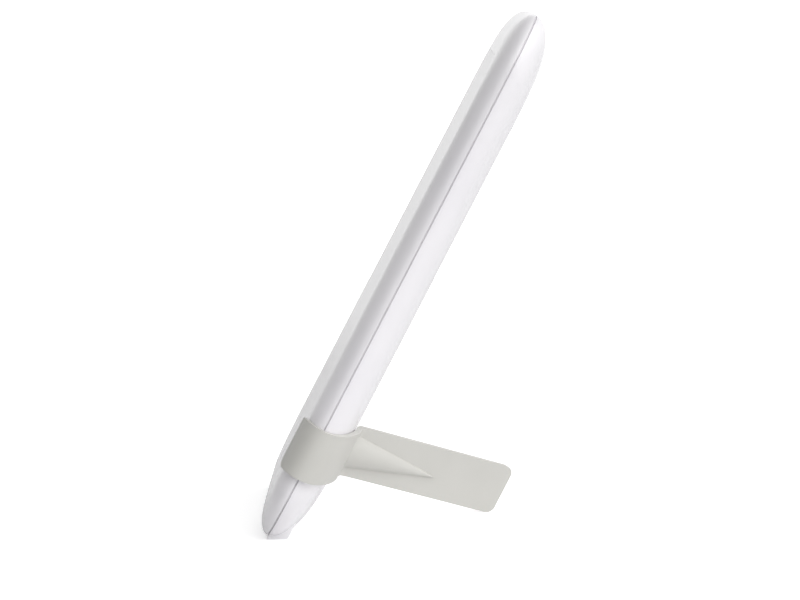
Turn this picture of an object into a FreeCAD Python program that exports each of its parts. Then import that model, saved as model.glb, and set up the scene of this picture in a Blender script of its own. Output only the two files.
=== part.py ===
import FreeCAD, Part
import Sketcher
import math
import os

# Light therapy lamp: a slim tablet-shaped light panel that leans back on a clip-on stand.
#
# Every sub-part is drawn in the panel's own frame and is then leaned back as one:
#   x  through the panel, 0 at the seam, negative to the light side, positive to the back
#   y  across the panel, 0 at the middle, negative at the edge that the stand grips
#   z  up the panel, 0 at the middle

os.makedirs("parts", exist_ok=True)
doc = FreeCAD.newDocument("LightTherapyLamp")
sheet = doc.addObject("Spreadsheet::Sheet", "Sizes")

SIZES = [
    # the whole panel
    ("panel_height", 238.0),
    ("panel_width", 156.0),
    ("corner_radius", 26.0),
    ("end_bow", 1.0),
    ("side_bow", 1.5),
    ("lean_angle", 27.46),
    # front half of the casing
    ("front_depth", 7.5),
    ("front_roll_end", 18.0),
    ("front_roll_side", 17.0),
    # rear half of the casing
    ("rear_depth", 12.4),
    ("rear_roll_end", 28.0),
    ("rear_roll_side", 31.0),
    # both halves
    ("shell_wall", 1.8),
    ("seam_gap", 0.5),
    ("seam_recess", 0.6),
    ("lip_wall", 0.8),
    ("lip_reach", 1.6),
    ("lip_root", 2.0),
    ("lip_clearance", 0.15),
    # light window and the stack of sheets behind it
    ("face_border_side", 18.0),
    ("face_border_end", 22.0),
    ("window_corner", 14.0),
    ("window_gap", 0.15),
    ("seat_gap", 0.05),
    ("diffuser_thickness", 1.5),
    ("sheet_margin", 1.0),
    ("film_thickness", 0.3),
    ("guide_thickness", 3.0),
    ("reflector_thickness", 0.3),
    # light strips along the two long edges of the light guide
    ("led_rise", 0.8),
    ("led_depth", 2.0),
    ("led_length", 2.8),
    ("led_count", 26),
    ("led_board_thickness", 1.0),
    ("led_board_tail", 6.0),
    # metal back plate
    ("plate_thickness", 0.8),
    ("plate_from_end", 12.0),
    ("plate_edge", 3.0),
    ("plate_boss_gap", 0.3),
    ("plate_corner", 14.0),
    ("flange_thickness", 0.8),
    ("plate_screw_from_end", 21.0),
    ("plate_boss_radius", 2.8),
    ("plate_screw_radius", 1.2),
    ("plate_screw_length", 4.0),
    ("plate_head_radius", 2.4),
    ("plate_head_height", 1.4),
    # standoffs and screws that hold the rear cover
    ("case_screw_from_side", 26.0),
    ("case_screw_from_end", 47.0),
    ("standoff_radius", 3.0),
    ("standoff_height", 5.0),
    ("standoff_floor", 0.8),
    ("case_boss_radius", 4.6),
    ("case_head_radius", 2.8),
    ("case_head_height", 2.2),
    ("case_screw_radius", 1.25),
    ("case_screw_grip", 3.6),
    ("case_seat_wall", 2.0),
    ("thread_clearance", 0.05),
    ("screw_clearance", 0.35),
    # driver board
    ("board_width", 74.0),
    ("board_height", 34.0),
    ("board_thickness", 1.6),
    ("board_from_end", 56.0),
    ("stud_radius", 2.5),
    ("stud_height", 2.0),
    ("stud_inset", 5.0),
    ("board_screw_radius", 1.0),
    ("board_screw_setback", 0.4),
    ("board_head_radius", 2.0),
    ("board_head_height", 1.4),
    ("coil_radius", 5.0),
    ("coil_height", 5.0),
    ("capacitor_radius", 3.2),
    ("capacitor_height", 6.0),
    ("capacitor_spacing", 9.0),
    ("chip_width", 5.0),
    ("chip_length", 4.0),
    ("chip_height", 1.6),
    ("connector_width", 6.0),
    ("connector_length", 5.0),
    ("connector_height", 4.0),
    ("lead_radius", 0.8),
    ("lead_below_board", 4.0),
    ("lead_plate_gap", 0.6),
    # power inlet
    ("socket_across", -20.0),
    ("socket_width", 9.0),
    ("socket_length", 10.0),
    ("socket_collar_radius", 4.0),
    ("socket_bore_radius", 2.8),
    ("socket_bore_depth", 7.0),
    ("socket_pin_radius", 1.0),
    ("socket_pin_setback", 0.6),
    ("socket_recess", 0.3),
    ("cover_clearance", 0.3),
    # power button
    ("button_across", 20.0),
    ("button_radius", 6.0),
    ("button_proud", 1.0),
    ("button_travel", 0.8),
    ("button_flange", 1.2),
    ("button_flange_thickness", 1.0),
    ("button_seat_gap", 0.15),
    ("button_stem_radius", 2.0),
    ("switch_width", 6.2),
    ("switch_height", 3.6),
    ("plunger_radius", 1.7),
    ("plunger_rise", 1.3),
    ("plunger_depth", 1.2),
    ("plunger_clearance", 0.1),
    # feet under the rear cover
    ("foot_depth", 8.0),
    ("foot_length", 26.0),
    ("foot_from_edge", 18.0),
    ("foot_nose", 1.5),
    ("foot_front", 0.4),
    ("shell_floor_gap", 0.35),
    # clip-on stand
    ("clip_height", 22.0),
    ("clip_above_base", 30.8),
    ("clip_thickness", 2.2),
    ("clip_clearance", 0.3),
    ("clip_lip_reach", 10.0),
    ("clip_lip_low_corner", 4.0),
    ("clip_lip_high_corner", 1.3),
    ("clip_arm_reach", 31.0),
    ("clip_rise", 3.6),
    ("bend_radius", 6.0),
    ("tongue_depth", 82.8),
    ("tongue_tip_across", 5.0),
    ("tongue_corner", 3.5),
    ("rib_radius", 8.0),
    ("rib_height", 3.7),
    ("rib_length", 44.0),
]

for row, (alias, value) in enumerate(SIZES, start=1):
    sheet.set(f"A{row}", alias)
    sheet.set(f"B{row}", str(value))
    sheet.setAlias(f"B{row}", alias)
doc.recompute()


def size(alias):
    """The number that the sheet holds under this name."""
    return float(sheet.get(alias))


def sized(text):
    """Turns bare cell names into references that a formula can read."""
    words = []
    for word in text.split():
        words.append(f"Sizes.{word}" if word[0].isalpha() else word)
    return " ".join(words)


def total(text):
    """The number that a formula of cell names comes to."""
    return float(sheet.evalExpression(sized(text)))


def place(item, x, y, z):
    """Ties an object's position to three formulas."""
    item.setExpression("Placement.Base.x", sized(x))
    item.setExpression("Placement.Base.y", sized(y))
    item.setExpression("Placement.Base.z", sized(z))
    return item


def block(name, low, high):
    """A box from its low corner to its high corner, each given as three formulas."""
    item = doc.addObject("Part::Box", name)
    sides = zip(("Length", "Width", "Height"), low, high)
    for side, start, end in sides:
        item.setExpression(side, sized(f"( {end} ) - ( {start} )"))
    return place(item, *low)


def rod(name, radius, start, end, y, z):
    """A round bar through the panel's thickness."""
    item = doc.addObject("Part::Cylinder", name)
    item.Placement.Rotation = FreeCAD.Rotation(FreeCAD.Vector(0, 1, 0), 90)
    item.setExpression("Radius", sized(radius))
    item.setExpression("Height", sized(f"( {end} ) - ( {start} )"))
    return place(item, start, y, z)


def fuse(name, items):
    joined = doc.addObject("Part::MultiFuse", name)
    joined.Shapes = items
    return joined


def cut(name, base, tools):
    """Takes the tools away from the base."""
    taken = doc.addObject("Part::Cut", name)
    taken.Base = base
    taken.Tool = tools[0] if len(tools) == 1 else fuse(f"{name}_tools", tools)
    return taken


def group(name, items):
    """Several separate solids under one name."""
    together = doc.addObject("Part::Compound", name)
    together.Links = items
    return together


def feature(name, shape):
    item = doc.addObject("Part::Feature", name)
    item.Shape = shape
    return item


def rounded_rectangle(sketch, width, height, corner):
    """A centred rectangle with round corners, held by constraints tied to the sheet."""
    half_w, half_h, r = total(width) / 2, total(height) / 2, total(corner)
    for quarter, (side, end) in enumerate([(1, 1), (-1, 1), (-1, -1), (1, -1)]):
        centre = FreeCAD.Vector(side * (half_w - r), end * (half_h - r), 0)
        circle = Part.Circle(centre, FreeCAD.Vector(0, 0, 1), r)
        start = quarter * math.pi / 2
        sketch.addGeometry(Part.ArcOfCircle(circle, start, start + math.pi / 2))
    for quarter in range(4):
        after = (quarter + 1) % 4
        first = sketch.Geometry[quarter].EndPoint
        second = sketch.Geometry[after].StartPoint
        line = sketch.addGeometry(Part.LineSegment(first, second))
        sketch.addConstraint(Sketcher.Constraint("Tangent", quarter, 2, line, 1))
        sketch.addConstraint(Sketcher.Constraint("Tangent", line, 2, after, 1))
        sketch.addConstraint(Sketcher.Constraint("Vertical" if quarter % 2 else "Horizontal", line))
        if quarter:
            sketch.addConstraint(Sketcher.Constraint("Equal", 0, quarter))
    across = sketch.addConstraint(Sketcher.Constraint("DistanceX", 1, 2, 0, 1, 2 * half_w))
    up = sketch.addConstraint(Sketcher.Constraint("DistanceY", 2, 2, 1, 1, 2 * half_h))
    round_off = sketch.addConstraint(Sketcher.Constraint("Radius", 0, r))
    sketch.addConstraint(Sketcher.Constraint("Symmetric", 0, 1, 2, 1, -1, 1))
    sketch.setExpression(f"Constraints[{across}]", sized(width))
    sketch.setExpression(f"Constraints[{up}]", sized(height))
    sketch.setExpression(f"Constraints[{round_off}]", sized(corner))


def new_body(label):
    body = doc.addObject("PartDesign::Body", label)
    body.Label = label
    return body


def new_sketch(body, name, offset):
    """A sketch square to the panel's thickness, at a given distance behind the seam."""
    sketch = body.newObject("Sketcher::SketchObject", name)
    plane = [item for item in body.Origin.OriginFeatures if item.Role == "YZ_Plane"][0]
    sketch.AttachmentSupport = (plane, [""])
    sketch.MapMode = "FlatFace"
    sketch.setExpression("AttachmentOffset.Base.z", sized(offset))
    return sketch


def pad(body, name, sketch, length):
    made = body.newObject("PartDesign::Pad", name)
    made.Profile = sketch
    made.setExpression("Length", sized(length))
    return made


def sheet_body(label, width, height, corner, start, thickness):
    """A flat sheet with round corners."""
    body = new_body(label)
    sketch = new_sketch(body, f"{label}_outline", start)
    rounded_rectangle(sketch, width, height, corner)
    pad(body, f"{label}_pad", sketch, thickness)
    return body


# ---------------------------------------------------------------- the casing's outer form

HALF_HEIGHT = size("panel_height") / 2
HALF_WIDTH = size("panel_width") / 2
BEYOND = 2 * size("panel_height")  # well past the whole lamp, for tools that trim it
MARGIN = 1.0  # how far a cutting tool runs past what it cuts
ROLL_STEPS = (0.0, 15.0, 30.0, 45.0, 60.0, 75.0, 90.0)


def pillow_wire(x, half_height, half_width, corner):
    """The casing's outline at one depth: bowed ends and sides that run into round corners."""
    end_radius = bow_radius(half_width, size("end_bow"))
    side_radius = bow_radius(half_height, size("side_bow"))
    end_centre = half_height - end_radius
    side_centre = half_width - side_radius
    # the corner's centre lies on a circle about each big arc's centre
    reach_end = end_radius - corner
    reach_side = side_radius - corner
    gap = math.hypot(end_centre, side_centre)
    along = (reach_side**2 - reach_end**2 + gap**2) / (2 * gap)
    off = math.sqrt(reach_side**2 - along**2)
    # unit step from the side arc's centre (y = side_centre, z = 0) to the end arc's centre (0, end_centre)
    step_y, step_z = -side_centre / gap, end_centre / gap
    corner_y = side_centre + along * step_y - off * step_z
    corner_z = along * step_z + off * step_y
    side_scale = corner / reach_side
    end_scale = corner / reach_end
    side_touch = (corner_y + (corner_y - side_centre) * side_scale, corner_z * (1 + side_scale))
    end_touch = (corner_y * (1 + end_scale), corner_z + (corner_z - end_centre) * end_scale)
    diagonal = corner / math.sqrt(2)
    corner_mid = (corner_y + diagonal, corner_z + diagonal)

    def point(y, z):
        return FreeCAD.Vector(x, y, z)

    def mirrored(pair, sign_y, sign_z):
        return point(pair[0] * sign_y, pair[1] * sign_z)

    edges = []
    quarters = [(1, 1), (-1, 1), (-1, -1), (1, -1)]
    for index, (sign_y, sign_z) in enumerate(quarters):
        first, last = (side_touch, end_touch) if sign_y * sign_z > 0 else (end_touch, side_touch)
        ends = [mirrored(pair, sign_y, sign_z) for pair in (first, corner_mid, last)]
        edges.append(Part.Arc(*ends).toShape())
        next_y, next_z = quarters[(index + 1) % 4]
        if sign_z == next_z:
            middle = point(0, sign_z * half_height)
            start, end = mirrored(end_touch, sign_y, sign_z), mirrored(end_touch, next_y, next_z)
        else:
            middle = point(sign_y * half_width, 0)
            start, end = mirrored(side_touch, sign_y, sign_z), mirrored(side_touch, next_y, next_z)
        edges.append(Part.Arc(start, middle, end).toShape())
    return Part.Wire(edges)


def bow_radius(half_length, bow):
    """The radius of an arc that rises by bow over twice half_length."""
    return (half_length**2 + bow**2) / (2 * bow)


def pillow_half(side, offset=0.0):
    """One half of the casing's outer form, grown outwards by offset: -1 is the front, 1 the rear."""
    end = "front" if side < 0 else "rear"
    depth = size(f"{end}_depth") + offset
    roll_end = size(f"{end}_roll_end") + offset
    roll_side = size(f"{end}_roll_side") + offset
    sections = []
    for step in ROLL_STEPS:
        turn = math.radians(step)
        half_height = HALF_HEIGHT + offset - roll_end * (1 - math.cos(turn))
        half_width = HALF_WIDTH + offset - roll_side * (1 - math.cos(turn))
        # the corners shrink with the outline
        share = (half_height / (HALF_HEIGHT + offset) + half_width / (HALF_WIDTH + offset)) / 2
        corner = (size("corner_radius") + offset) * share
        x = side * depth * math.sin(turn)
        sections.append(pillow_wire(x, half_height, half_width, corner))
    return Part.makeLoft(sections, True, False)


def pillow(offset=0.0):
    """The casing's whole outer form, grown outwards by offset."""
    return pillow_half(-1, offset).fuse(pillow_half(1, offset))


def slab(start, end, low_side=-BEYOND, high_side=BEYOND):
    """A plain box between two depths, wide enough to trim the whole panel."""
    corner = FreeCAD.Vector(start, low_side, -BEYOND)
    return Part.makeBox(end - start, high_side - low_side, 2 * BEYOND, corner)


def prism(start, end, inset):
    """The casing's widest outline, drawn in by inset, between two depths."""
    corner = size("corner_radius") - inset
    wire = pillow_wire(start, HALF_HEIGHT - inset, HALF_WIDTH - inset, corner)
    return Part.Face(wire).extrude(FreeCAD.Vector(end - start, 0, 0))


def edges_along(solid, direction):
    """The straight edges of a solid that run one way."""
    parallel = 0.999

    def runs(edge):
        return abs(edge.tangentAt(edge.FirstParameter).dot(direction)) > parallel

    return [edge for edge in solid.Edges if runs(edge)]


OUTER = {side: pillow_half(side) for side in (-1, 1)}
INNER = {side: pillow_half(side, -size("shell_wall")) for side in (-1, 1)}

# ---------------------------------------------------------------- levels through the panel

FACE = "shell_wall + seat_gap - front_depth"
FILM = f"{FACE} + diffuser_thickness"
GUIDE = f"{FILM} + film_thickness"
REFLECTOR = f"{GUIDE} + guide_thickness"
PLATE = f"{REFLECTOR} + reflector_thickness"
PLATE_BACK = f"{PLATE} + plate_thickness"
BOARD = f"{PLATE_BACK} + stud_height"
BOARD_TOP = f"{BOARD} + board_thickness"
COVER_SEAT = f"{PLATE_BACK} + standoff_height"
SCREW_SEAT = f"{COVER_SEAT} + case_seat_wall"
COVER_INNER = "rear_depth - shell_wall"

# distances from the panel's middle, across and up
WINDOW_SIDE = "panel_width / 2 - face_border_side"
WINDOW_END = "panel_height / 2 - face_border_end"
GUIDE_SIDE = f"{WINDOW_SIDE} + sheet_margin"
GUIDE_END = f"{WINDOW_END} + sheet_margin"
SHEET_CORNER = "window_corner + sheet_margin"
GUIDE_WIDTH = f"2 * ( {GUIDE_SIDE} )"
GUIDE_HEIGHT = f"2 * ( {GUIDE_END} )"
LED_BACK = f"{GUIDE_SIDE} + led_rise"
LED_BOARD_BACK = f"{LED_BACK} + led_board_thickness"
FLANGE_BACK = f"{LED_BOARD_BACK} + flange_thickness"
PLATE_SCREW_SIDE = f"{FLANGE_BACK} + plate_boss_gap + plate_boss_radius"
PLATE_SCREW_END = "panel_height / 2 - plate_screw_from_end"
PLATE_SIDE = f"{PLATE_SCREW_SIDE} + plate_edge"
PLATE_END = "panel_height / 2 - plate_from_end"
CASE_SCREW_SIDE = "panel_width / 2 - case_screw_from_side"
CASE_SCREW_END = "panel_height / 2 - case_screw_from_end"
BOARD_UP = "board_from_end - panel_height / 2"
CORNERS = [(-1, -1), (1, -1), (-1, 1), (1, 1)]


def bar(radius, start, end, y, z):
    """A round bar through the panel's thickness, from numbers."""
    axis = FreeCAD.Vector(1, 0, 0)
    return Part.makeCylinder(radius, end - start, FreeCAD.Vector(start, y, z), axis)


def rounded_window():
    """The light window's opening."""
    half_w, half_h = total(WINDOW_SIDE), total(WINDOW_END)
    corner = FreeCAD.Vector(-size("front_depth") - MARGIN, -half_w, -half_h)
    solid = Part.makeBox(size("shell_wall") + 2 * MARGIN, 2 * half_w, 2 * half_h, corner)
    return solid.makeFillet(size("window_corner"), edges_along(solid, FreeCAD.Vector(1, 0, 0)))


def seam_groove():
    """The narrow step all round the casing where its two halves meet."""
    half = size("seam_gap") / 2
    return slab(-half, half).cut(prism(-half, half, size("seam_recess")))


def front_bezel():
    """Front half of the casing: face, window and the bosses for the back plate's screws."""
    shell = OUTER[-1].cut(INNER[-1])
    bosses = []
    bores = []
    plate = total(PLATE)
    grip = total("plate_screw_length - plate_thickness + thread_clearance")
    for side, end in CORNERS:
        y, z = side * total(PLATE_SCREW_SIDE), end * total(PLATE_SCREW_END)
        bosses.append(bar(size("plate_boss_radius"), -size("front_depth"), plate, y, z))
        bores.append(bar(total("plate_screw_radius + thread_clearance"), plate - grip, plate, y, z))
    shell = shell.fuse([boss.common(OUTER[-1]) for boss in bosses])
    return shell.cut([seam_groove(), rounded_window()] + bores)


def floor_height(x):
    """Where the table's surface lies, at one depth, in the panel's own frame."""
    return -HALF_HEIGHT - size("shell_floor_gap") + x * math.tan(math.radians(size("lean_angle")))


def below_floor(rise):
    """Everything lower than a plane that lies above the table by rise."""
    bottom = floor_height(-BEYOND) - BEYOND
    corners = [
        FreeCAD.Vector(-BEYOND, -BEYOND, floor_height(-BEYOND) + rise),
        FreeCAD.Vector(BEYOND, -BEYOND, floor_height(BEYOND) + rise),
        FreeCAD.Vector(BEYOND, -BEYOND, bottom),
        FreeCAD.Vector(-BEYOND, -BEYOND, bottom),
    ]
    face = Part.Face(Part.makePolygon(corners + corners[:1]))
    return face.extrude(FreeCAD.Vector(0, 2 * BEYOND, 0))


def cover_lip():
    """The thin rim of the rear cover that centres it inside the bezel."""
    outside = total("shell_wall + lip_clearance")
    rim = pillow_half(-1, -outside).common(slab(-size("lip_reach"), 0))
    root = OUTER[1].common(slab(0, size("lip_root")))
    return rim.fuse(root).cut(pillow(-outside - size("lip_wall")))


def rear_cover():
    """Rear half of the casing, with its lip, screw bosses, inlet hole and button hole."""
    shell = OUTER[1].cut(INNER[1])
    bosses = []
    holes = []
    seat, head_seat = total(COVER_SEAT), total(SCREW_SEAT)
    top = size("rear_depth") + MARGIN
    for side, end in CORNERS:
        y, z = side * total(CASE_SCREW_SIDE), end * total(CASE_SCREW_END)
        bosses.append(bar(size("case_boss_radius"), seat, size("rear_depth"), y, z).common(OUTER[1]))
        holes.append(bar(total("case_screw_radius + screw_clearance"), seat - MARGIN, top, y, z))
        holes.append(bar(total("case_head_radius + screw_clearance"), head_seat, top, y, z))
    z = total(BOARD_UP)
    holes.append(bar(total("socket_collar_radius + cover_clearance"), seat, top, size("socket_across"), z))
    holes.append(bar(total("button_radius + cover_clearance"), seat, top, size("button_across"), z))
    shell = shell.fuse([cover_lip()] + bosses).cut(seam_groove())
    return shell.cut(holes + [below_floor(size("shell_floor_gap"))])


def rest_feet():
    """Two soft wedges under the rear cover that stand flat on the table."""
    front, back = size("foot_front"), size("foot_depth")
    top = -HALF_HEIGHT + size("rear_roll_end")  # well inside the casing at any depth
    outline = [
        FreeCAD.Vector(front, 0, floor_height(front)),
        FreeCAD.Vector(back, 0, floor_height(back)),
        FreeCAD.Vector(back, 0, top),
        FreeCAD.Vector(front, 0, top),
    ]
    face = Part.Face(Part.makePolygon(outline + outline[:1]))
    wedge = face.extrude(FreeCAD.Vector(0, size("foot_length"), 0))
    long_edges = edges_along(wedge, FreeCAD.Vector(0, 1, 0))
    low_edges = sorted(long_edges, key=lambda edge: edge.CenterOfMass.z)[:2]
    heel = max(low_edges, key=lambda edge: edge.CenterOfMass.x)
    wedge = wedge.makeFillet(size("foot_nose"), [heel])
    casing = OUTER[1].cut(below_floor(size("shell_floor_gap")))
    feet = []
    inboard = HALF_WIDTH - size("foot_from_edge") - size("foot_length")
    for start in (-HALF_WIDTH + size("foot_from_edge"), inboard):
        foot = wedge.copy()
        foot.translate(FreeCAD.Vector(0, start, 0))
        feet += foot.cut(casing).Solids
    return Part.makeCompound(feet)


# ---------------------------------------------------------------- the clip-on stand

CLIP_GROWTH = total("clip_clearance + clip_thickness")
CLIP_BASE = -HALF_HEIGHT + size("clip_above_base")
CLIP_FRONT = -size("front_depth") - CLIP_GROWTH - MARGIN  # ahead of the front lip


def clip_side_outline():
    """The stand's outline seen along the panel's width: level cuff, then a rising tongue."""
    tall, rise = size("clip_height"), size("clip_rise")
    low, high = CLIP_BASE, CLIP_BASE + tall
    root = size("rear_depth") + CLIP_GROWTH
    end = size("tongue_depth")
    corner = size("tongue_corner")
    lean = math.radians(size("lean_angle"))
    # both rims of the cuff curve up to the tongue's root
    sweep = (root**2 + rise**2) / (2 * rise)
    half_turn = math.asin(root / sweep) / 2
    mid_x, mid_rise = sweep * math.sin(half_turn), sweep * (1 - math.cos(half_turn))
    # the lower corner's centre sits one corner radius above the table
    centre_x = end - corner
    centre_z = floor_height(centre_x) + corner / math.cos(lean)
    reach_x, reach_z = centre_x - root, centre_z - (low + rise)
    reach = math.hypot(reach_x, reach_z)
    slope = math.atan2(reach_z, reach_x) - math.asin(corner / reach)
    run = math.sqrt(reach**2 - corner**2)
    touch = (root + run * math.cos(slope), low + rise + run * math.sin(slope))
    upper_z = high + rise + (centre_x - root) * math.tan(slope) - corner / math.cos(slope)
    upper_touch = (centre_x - corner * math.sin(slope), upper_z + corner * math.cos(slope))
    diagonal = corner * math.sin(math.radians(45))
    lower_mid = (centre_x + diagonal, centre_z - diagonal)
    upper_mid = (centre_x + diagonal, upper_z + diagonal)

    def point(x, z):
        return FreeCAD.Vector(x, -BEYOND, z)

    def line(start, finish):
        return Part.LineSegment(point(*start), point(*finish)).toShape()

    def arc(start, middle, finish):
        return Part.Arc(point(*start), point(*middle), point(*finish)).toShape()

    edges = [
        line((CLIP_FRONT, low), (0, low)),
        arc((0, low), (mid_x, low + mid_rise), (root, low + rise)),
        line((root, low + rise), touch),
        arc(touch, lower_mid, (end, centre_z)),
        line((end, centre_z), (end, upper_z)),
        arc((end, upper_z), upper_mid, upper_touch),
        line(upper_touch, (root, high + rise)),
        arc((root, high + rise), (mid_x, high + mid_rise), (0, high)),
        line((0, high), (CLIP_FRONT, high)),
        line((CLIP_FRONT, high), (CLIP_FRONT, low)),
    ]
    return Part.Wire(edges), math.tan(slope)


def clip_lip_window():
    """How far the front lip reaches over the bezel: its low free corner is rounder than the high one."""
    outside = CLIP_GROWTH + MARGIN
    low = FreeCAD.Vector(CLIP_FRONT, -HALF_WIDTH - outside, CLIP_BASE)
    solid = Part.makeBox(-CLIP_FRONT, size("clip_lip_reach") + outside, size("clip_height"), low)
    corners = edges_along(solid, FreeCAD.Vector(1, 0, 0))
    free = sorted(corners, key=lambda edge: edge.CenterOfMass.y)[2:]
    low_corner = min(free, key=lambda edge: edge.CenterOfMass.z)
    solid = solid.makeFillet(size("clip_lip_low_corner"), [low_corner])
    corners = edges_along(solid, FreeCAD.Vector(1, 0, 0))
    high_corner = max(corners, key=lambda edge: edge.CenterOfMass.y + edge.CenterOfMass.z)
    return solid.makeFillet(size("clip_lip_high_corner"), [high_corner])


def tongue_plan():
    """Where the tongue runs, seen from above: a bend off the cuff, then straight to its tip."""
    root_x = total("rear_depth + clip_clearance") + size("clip_thickness") / 2
    root_y = -HALF_WIDTH + size("clip_arm_reach")
    bend = size("bend_radius")
    to_x, to_y = size("tongue_depth") - (root_x + bend), size("tongue_tip_across") - root_y
    far = math.hypot(to_x, to_y)
    turn = math.atan2(to_x, to_y) + math.asin(bend / far)
    straight = math.sqrt(far**2 - bend**2)
    return root_x, root_y, turn, straight


def tongue_strip():
    """The bend and the tongue at their full height, before the side outline trims them."""
    root_x, root_y, turn, straight = tongue_plan()
    bend, half = size("bend_radius"), size("clip_thickness") / 2
    centre = FreeCAD.Vector(root_x + bend, root_y, -BEYOND)
    overrun = 2 * size("clip_thickness")

    def on_bend(radius, angle):
        return centre + FreeCAD.Vector(-radius * math.cos(angle), radius * math.sin(angle), 0)

    along = FreeCAD.Vector(math.sin(turn), math.cos(turn), 0)
    inner = [on_bend(bend - half, turn * share) for share in (0, 0.5, 1)]
    outer = [on_bend(bend + half, turn * share) for share in (0, 0.5, 1)]
    tip_inner = inner[2] + along * (straight + overrun)
    tip_outer = outer[2] + along * (straight + overrun)
    edges = [
        Part.Arc(*inner).toShape(),
        Part.LineSegment(inner[2], tip_inner).toShape(),
        Part.LineSegment(tip_inner, tip_outer).toShape(),
        Part.LineSegment(tip_outer, outer[2]).toShape(),
        Part.Arc(outer[2], outer[1], outer[0]).toShape(),
        Part.LineSegment(outer[0], inner[0]).toShape(),
    ]
    return Part.Face(Part.Wire(edges)).extrude(FreeCAD.Vector(0, 0, 2 * BEYOND))


def clip_rib(side_slope):
    """A round gusset in the bend that sinks into the near face of the tongue."""
    root_x, root_y, turn, _ = tongue_plan()
    bend, radius, height = size("bend_radius"), size("rib_radius"), size("rib_height")
    forward = FreeCAD.Vector(math.sin(turn), math.cos(turn), 0)
    across = FreeCAD.Vector(math.cos(turn), -math.sin(turn), 0)
    middle = FreeCAD.Vector(root_x + bend, root_y, CLIP_BASE + size("clip_rise") + size("clip_height") / 2)
    bend_end = middle - across * bend
    # the gusset's axis starts inside the casing's edge, and its crest meets the face at rib_length
    crest = across * (height - radius + size("clip_thickness") / 2)
    run = (forward + FreeCAD.Vector(0, 0, side_slope * math.sin(turn))) * size("rib_length") - across * height
    behind = (bend + radius) / size("rib_length")
    start = bend_end + crest - run * behind
    gusset = Part.makeCylinder(radius, run.Length * (1 + behind), start, run)
    # only the half on the near side of the tongue's middle plane
    origin = FreeCAD.Vector(bend_end.x, bend_end.y, -BEYOND)
    ring = [origin - forward * BEYOND, origin + forward * BEYOND]
    ring += [ring[1] + across * BEYOND, ring[0] + across * BEYOND]
    half_space = Part.Face(Part.makePolygon(ring + ring[:1])).extrude(FreeCAD.Vector(0, 0, 2 * BEYOND))
    return gusset.common(half_space)


def stand_clip():
    """One springy moulding: cuff round the panel's edge, tongue behind it and a rib between."""
    clear = pillow(size("clip_clearance"))
    skin = pillow(CLIP_GROWTH).cut(clear)
    rear = slab(0, BEYOND, -BEYOND, -HALF_WIDTH + size("clip_arm_reach"))
    cuff = skin.common(clip_lip_window().fuse(rear))
    outline, side_slope = clip_side_outline()
    trim = Part.Face(outline).extrude(FreeCAD.Vector(0, 2 * BEYOND, 0))
    body = cuff.fuse(tongue_strip()).common(trim)
    return body.fuse(clip_rib(side_slope)).cut(clear).removeSplitter()


# ---------------------------------------------------------------- the sub-parts

parts = {}


def keep(label, item):
    item.Label = label
    parts[label] = item
    return item


keep("front_bezel", feature("front_bezel_form", front_bezel()))
keep("rear_cover", feature("rear_cover_form", rear_cover()))
keep("rest_feet", feature("rest_feet_form", rest_feet()))
keep("stand_clip", feature("stand_clip_form", stand_clip()))

# light stack, front to back
diffuser = sheet_body("diffuser_panel", GUIDE_WIDTH, GUIDE_HEIGHT, SHEET_CORNER, FACE, "diffuser_thickness")
raised = new_sketch(diffuser, "diffuser_window_outline", "- front_depth")
fit_width, fit_height = f"2 * ( {WINDOW_SIDE} - window_gap )", f"2 * ( {WINDOW_END} - window_gap )"
rounded_rectangle(raised, fit_width, fit_height, "window_corner - window_gap")
pad(diffuser, "diffuser_window_pad", raised, "shell_wall + seat_gap")
keep("diffuser_panel", diffuser)

for label, start, thickness in (
    ("diffusing_film", FILM, "film_thickness"),
    ("light_guide", GUIDE, "guide_thickness"),
    ("reflector_sheet", REFLECTOR, "reflector_thickness"),
):
    keep(label, sheet_body(label, GUIDE_WIDTH, GUIDE_HEIGHT, SHEET_CORNER, start, thickness))


def spread(side, inner, outer):
    """The low and the high end of a span on the near side, -1, or the far side, 1."""
    return (f"- ( {outer} )", f"- ( {inner} )") if side < 0 else (inner, outer)


# light strips on the two long edges
for name, side in (("near", -1), ("far", 1)):
    start_y, end_y = spread(side, LED_BACK, LED_BOARD_BACK)
    tail = f"- ( {GUIDE_END} ) - led_board_tail"
    board = block(f"led_board_{name}_box", (GUIDE, start_y, tail), (REFLECTOR, end_y, GUIDE_END))
    keep(f"led_board_{name}", group(f"led_board_{name}", [board]))

    start_y, end_y = spread(side, GUIDE_SIDE, LED_BACK)
    front = f"{GUIDE} + ( guide_thickness - led_depth ) / 2"
    chips = []
    for number in range(int(size("led_count"))):
        middle = f"( {number} - ( led_count - 1 ) / 2 ) * {GUIDE_HEIGHT} / led_count"
        low = (front, start_y, f"{middle} - led_length / 2")
        high = (f"{front} + led_depth", end_y, f"{middle} + led_length / 2")
        chips.append(block(f"led_{name}_{number + 1}", low, high))
    keep(f"led_chips_{name}", group(f"led_chips_{name}", chips))

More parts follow.
